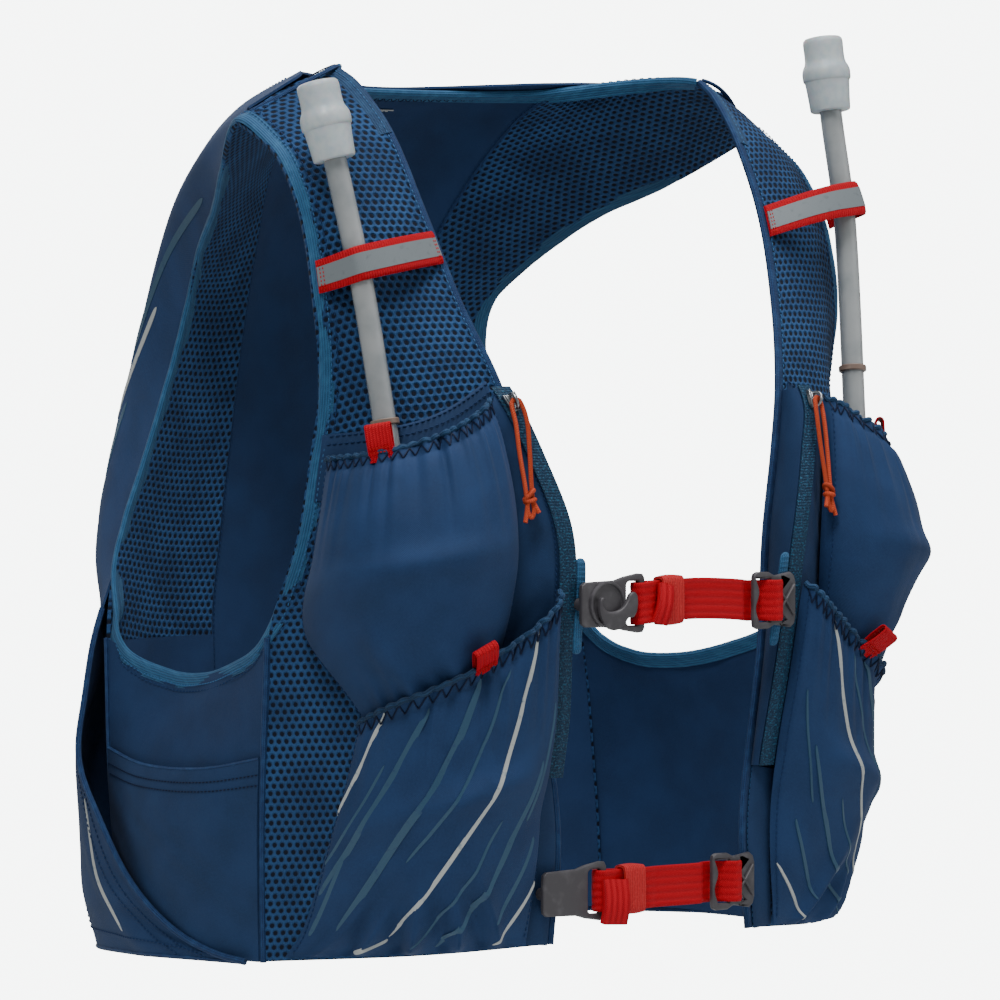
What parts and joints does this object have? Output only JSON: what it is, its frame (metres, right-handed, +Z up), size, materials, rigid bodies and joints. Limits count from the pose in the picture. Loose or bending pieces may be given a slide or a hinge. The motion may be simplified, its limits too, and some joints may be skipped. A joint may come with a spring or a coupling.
{
  "type": "running hydration vest",
  "caption": "Running hydration vest with stretch flask pockets, soft flasks with drinking tubes, zipped fronts, side pockets, a rear stuff pouch and hooked chest and waist straps.",
  "frame": {"origin": "the point midway between the shoulders at the height where the straps rest on them, above the middle of the body the vest goes round", "axes": "+Z up the wearer, -Y the way the wearer faces, +X to the wearer's left"},
  "size_m": [0.368, 0.3375, 0.4646],
  "materials": {
    "navy_woven": "stretch weave, matte",
    "navy_mesh": "spacer mesh, matte",
    "blue_binding": "ribbed elastic, matte",
    "teal_zip": "zip tape and teeth, matte",
    "red_webbing": "woven webbing, matte",
    "coral_elastic": "ribbed elastic, matte",
    "grey_plastic": "moulded, satin",
    "steel": "cast slider, satin",
    "orange_cord": "braided cord, matte",
    "clear_tube": "soft clear tube and flask film",
    "clear_valve": "clear silicone"
  },
  "bodies": {
    "root": {"armhole_binding_left": "blue_binding", "armhole_binding_right": "blue_binding", "back_lining": "navy_woven", "back_shell": "navy_woven", "back_wing_left": "navy_mesh", "back_wing_right": "navy_mesh", "bite_valve_left": "clear_valve", "bite_valve_right": "clear_valve", "chest_hook": "grey_plastic", "chest_ladder": "grey_plastic", "chest_sleeve": "coral_elastic", "chest_webbing": "red_webbing", "edge_rail_left": "navy_woven", "edge_rail_right": "navy_woven", "edge_strip_left": "navy_woven", "edge_strip_right": "navy_woven", "flask_left": "clear_tube", "flask_pocket_left": "navy_woven", "flask_pocket_right": "navy_woven", "flask_right": "clear_tube", "flask_tab_left": "red_webbing", "flask_tab_right": "red_webbing", "front_binding_left": "navy_woven", "front_binding_right": "navy_woven", "front_mesh_left": "navy_mesh", "front_mesh_right": "navy_mesh", "lower_pocket_left": "navy_woven", "lower_pocket_right": "navy_woven", "lower_tab_left": "red_webbing", "lower_tab_right": "red_webbing", "neck_binding": "navy_woven", "side_panel_left": "navy_woven", "side_panel_right": "navy_woven", "side_pocket_left": "navy_woven", "side_pocket_right": "navy_woven", "straw_keeper_left": "red_webbing", "straw_keeper_right": "red_webbing", "straw_left": "clear_tube", "straw_right": "clear_tube", "waist_hook": "grey_plastic", "waist_ladder": "grey_plastic", "waist_sleeve": "coral_elastic", "waist_webbing": "red_webbing", "zip_cord_left": "orange_cord", "zip_cord_right": "orange_cord", "zip_facing_left": "navy_woven", "zip_facing_right": "navy_woven", "zip_slider_left": "steel", "zip_slider_right": "steel", "zip_wall_left": "navy_woven", "zip_wall_right": "navy_woven", "zipper_left": "teal_zip", "zipper_right": "teal_zip"}
  },
  "joints": []
}
